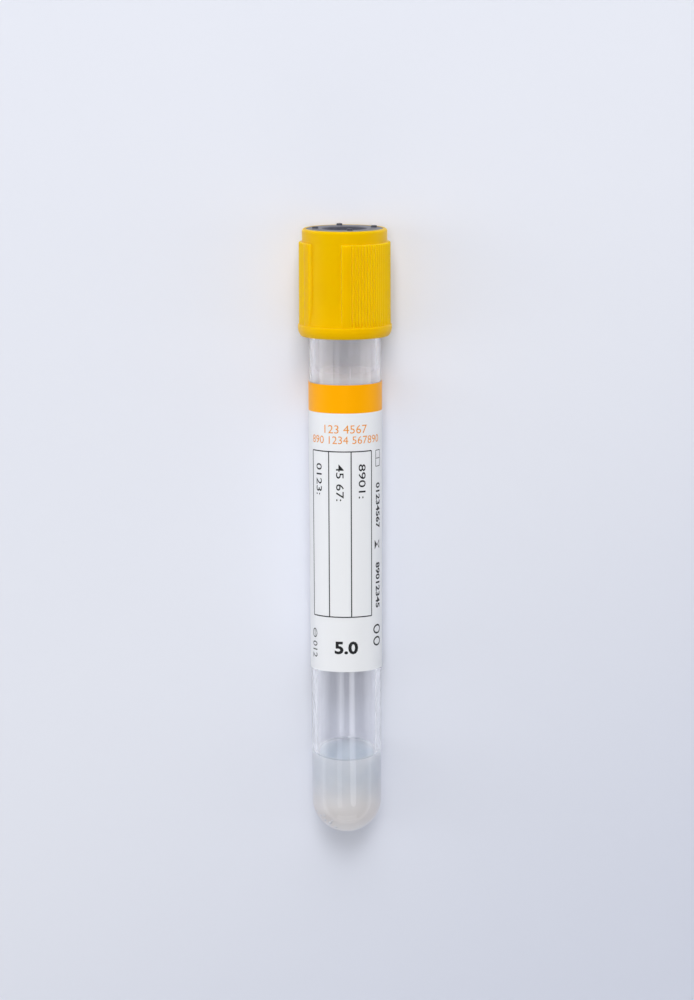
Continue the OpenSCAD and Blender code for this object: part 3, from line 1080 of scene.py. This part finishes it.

# %% [markdown]
# The cap is satin polyethylene, coloured through. Its gloss is weak and takes the colour of
# the plastic, so highlights stay yellow. Handling leaves some areas a little duller. The
# grooves and the sides of the panels are painted paler and less orange: painted light that
# lifts the darker, more orange shade in these hollows.

# %% Cap finish
yellow, tree, shader = finish_of("cap_plastic")
grain = use(tree, pebble, Scale=2500.0)
hands = use(tree, patches, Scale=160.0)["Mask"]
plastic = blend(tree, times(tree, hands, 0.3), (0.81, 0.472, 0.0, 1), (0.77, 0.442, 0.0, 1))
# Painted light: the grooves and panel sides get a paler, less orange colour that lifts their shade.
here = off_axis(tree)
height = use(tree, height_on_tube)["Height"]
under = maths(tree, "MAXIMUM", maths(tree, "SUBTRACT", flare_top, height), 0.0)
wall_here = maths(tree, "MULTIPLY_ADD", times(tree, under, under), 0.5 / flare_arc, cap_r)
above_wall = ramp(tree, maths(tree, "SUBTRACT", here, wall_here), 0.04, 0.12)
crest = ramp(tree, here, panel_r - 0.15, panel_r - 0.05)
above_hem = ramp(tree, height, hem_top - 0.3, hem_top + 0.3)
painted_groove_light = times(tree, above_wall, above_hem, maths(tree, "SUBTRACT", 1.0, crest))
feed(shader, {"Base Color": blend(tree, painted_groove_light, plastic, (0.86, 0.56, 0.01, 1))})

# %% Its weak gloss and the light inside it
feed(shader, {
    "Roughness": maths(tree, "MULTIPLY_ADD", grain["Mask"], 0.06, 0.36), "IOR": 1.48,
    "Specular IOR Level": 0.25, "Specular Tint": (1.0, 0.72, 0.03, 1),
    "Subsurface Weight": 0.6, "Subsurface Radius": (1.0, 0.9, 0.04),
    "Subsurface Scale": 0.0015})
bumped(tree, shader, grain["Height"], 0.06, 0.03)
dress(yellow, cap)

# %% [markdown]
# ## Table, light and camera
# The tube lies on a pale sheet under soft studio light. The sheet is painted darker towards
# one corner: painted shade, where the light falls off. A panel beyond the cap is the key and
# keeps the shadows short, weaker panels fill the sides, and a small one on the right draws the
# long highlight. The room is pale near the horizon and dim above, so the sides of the tube
# stay bright while the shadows keep close to it.

# %% Table
floor_mesh = bpy.data.meshes.new("table_sheet")
half_table = 4
floor_mesh.from_pydata([(x * half_table, y * half_table, 0)
                        for x, y in ((-1, -1), (1, -1), (1, 1), (-1, 1))], [], [(0, 1, 2, 3)])
table = add("table_sheet", floor_mesh)
paper, tree, shader = finish_of("table_sheet")
fibre = use(tree, patches, Scale=60.0)["Mask"]
sheet = blend(tree, times(tree, fibre, 0.1), (0.75, 0.765, 0.835, 1), (0.735, 0.75, 0.825, 1))
where = node(tree, "TexCoord").outputs["Object"]
spot = node(tree, "SeparateXYZ", {0: where}).outputs
# Painted shade: the sheet's colour darkens towards one corner, where the light falls off.
corner = ramp(tree, maths(tree, "SUBTRACT", times(tree, spot["X"], 0.8), spot["Y"]), -0.02, 0.16)
feed(shader, {"Base Color": blend(tree, corner, sheet, (0.62, 0.645, 0.745, 1)),
              "Roughness": 0.6})
dress(paper, table)

# %% Room
world = bpy.data.worlds.new("studio")
bpy.context.scene.world = world
world.use_nodes = True
tree = world.node_tree
horizon, zenith = 1.30, 0.05
way = node(tree, "TexCoord").outputs["Generated"]
up = node(tree, "SeparateXYZ", {0: way}).outputs["Z"]
strength = maths(tree, "MULTIPLY_ADD", ramp(tree, up, 0.06, 0.38), zenith - horizon, horizon)
feed(tree.nodes["Background"], {"Strength": strength, "Color": (0.95, 0.97, 1.0, 1)})


# %% Lamps
def panel_light(name, where, size, power):
    """A soft rectangular light at a place, facing the middle of the table"""
    light = bpy.data.lights.new(name, "AREA")
    light.shape = "RECTANGLE"
    light.size, light.size_y = size
    light.energy = power
    light.color = (0.98, 0.99, 1.0)
    lamp = add(name, light)
    lamp.location = where
    lamp.rotation_euler = (-Vector(where)).to_track_quat("-Z", "Y").to_euler()


panel_light("key_panel", (0.0, 0.70, 1.0), (0.45, 0.45), 6.2)
panel_light("overhead", (-0.03, 0.12, 1.0), (0.25, 0.3), 2.4)
panel_light("far_panel", (0.0, 1.1, 0.7), (1.0, 0.6), 3.9)
panel_light("near_panel", (0.0, -1.0, 0.4), (1.0, 0.4), 1.1)
panel_light("left_panel", (-1.0, 0.1, 0.45), (0.5, 1.2), 3.0)
panel_light("left_top", (-0.5, -0.12, 1.0), (0.9, 0.3), 0.7)
panel_light("right_panel", (0.8, 0.05, 0.8), (0.4, 1.0), 0.75)
panel_light("side_strip", (0.36, -0.3, 1.0), (0.22, 0.36), 0.42)
panel_light("right_low", (0.95, -0.05, 0.22), (0.3, 1.0), 0.7)

# %% [markdown]
# The camera looks down from a little beyond the cap's side, so that the stopper's top just
# shows. Its distance gives the perspective, and its frame holds the tube with room around.

# %% Camera
camera_distance = 0.817
camera_lean = math.radians(8.63)
camera_roll = math.radians(-0.24)
aim_share, aim_side = 0.553, 0.24
aim = tip + axis * (aim_share * (cap_top + 0.1) * MM) + side * (aim_side * MM)
front = -back
view_back = (front * math.cos(camera_lean) + axis * math.sin(camera_lean)).normalized()
upward = (axis * math.cos(camera_lean) - front * math.sin(camera_lean)).normalized()
right = side * math.cos(camera_roll) + upward * math.sin(camera_roll)
upward = upward * math.cos(camera_roll) - side * math.sin(camera_roll)
lens = bpy.data.cameras.new("camera")
lens.sensor_width = 36
lens.lens = 163.1
lens.clip_start = 0.01
camera = add("camera", lens)
eye = aim + view_back * camera_distance
camera.matrix_world = standing(right, upward, view_back, eye)
bpy.context.scene.camera = camera
bpy.context.scene.view_settings.view_transform = "Standard"
print("camera at", [round(c, 3) for c in eye])

# %% Update the scene
bpy.context.view_layer.update()
